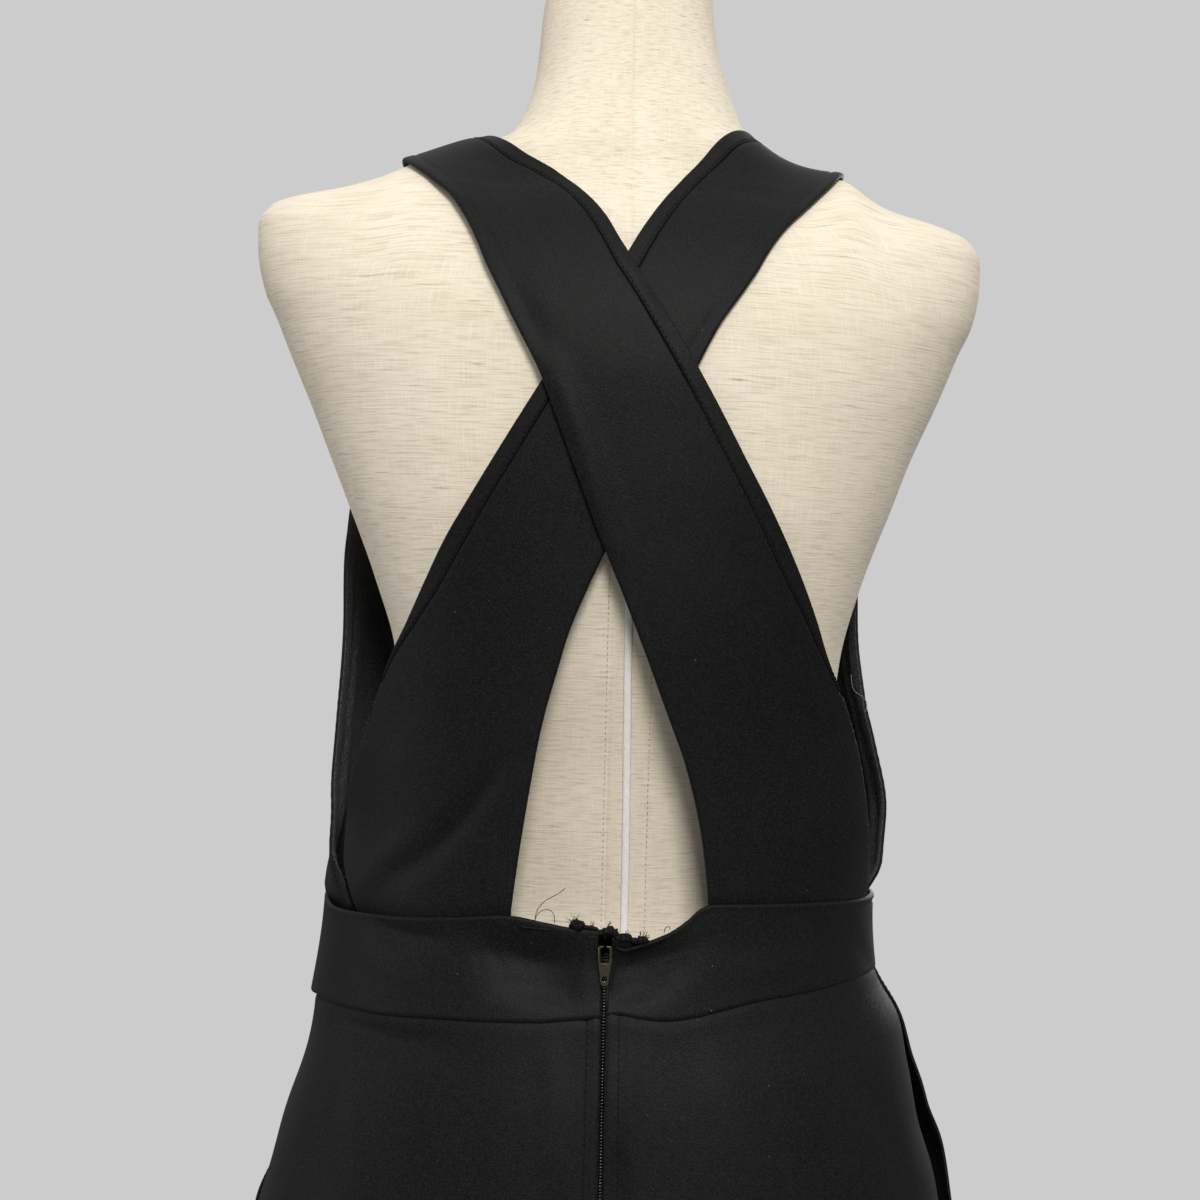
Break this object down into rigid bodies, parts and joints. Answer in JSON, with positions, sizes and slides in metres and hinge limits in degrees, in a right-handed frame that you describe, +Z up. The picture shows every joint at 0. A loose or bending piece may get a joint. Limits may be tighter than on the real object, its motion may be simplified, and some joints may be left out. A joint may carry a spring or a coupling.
{
  "type": "romper on a dress form",
  "caption": "Black romper with wide crossed back straps, waistband, back zip and flared shorts, worn by a limbless linen dress form on a pole stand with a round base.",
  "frame": {"origin": "centre of the flat underside of the stand's base, on the floor", "axes": "+Z up the stand's pole, -Y out of the garment's back, +X to the wearer's right"},
  "size_m": [0.4598, 0.38, 1.5685],
  "materials": {
    "scuba": "matt black double knit",
    "linen": "natural woven linen with slubs",
    "zip_cloth": "woven zip tape and nylon coil",
    "gunmetal": "dark antique plating, worn at the edges",
    "painted_steel": "satin black paint",
    "pale_wood": "turned pale wood, waxed"
  },
  "bodies": {
    "form": {"strap_left": "scuba", "strap_right": "scuba", "strap_band_left": "scuba", "strap_band_right": "scuba", "front_left": "scuba", "front_right": "scuba", "waistband_back_left": "scuba", "waistband_back_right": "scuba", "waistband_front": "scuba", "shorts_back_left": "scuba", "shorts_back_right": "scuba", "shorts_front_left": "scuba", "shorts_front_right": "scuba", "pocket_facing_left": "scuba", "pocket_facing_right": "scuba", "zip": "zip_cloth", "zip_slider": "gunmetal", "torso": "linen", "neck_cap": "pale_wood", "pole": "painted_steel", "pole_collar": "painted_steel", "form_socket": "painted_steel", "base": "painted_steel"},
    "pull": {"pull_tab": "gunmetal"}
  },
  "joints": [
    {"name": "pull_swing", "type": "hinge", "parent": "form", "child": "pull", "pos_m": [-0.0055, -0.12016, 1.01836], "axis": [-1, 0, 0], "range_deg": [0, 150]}
  ]
}
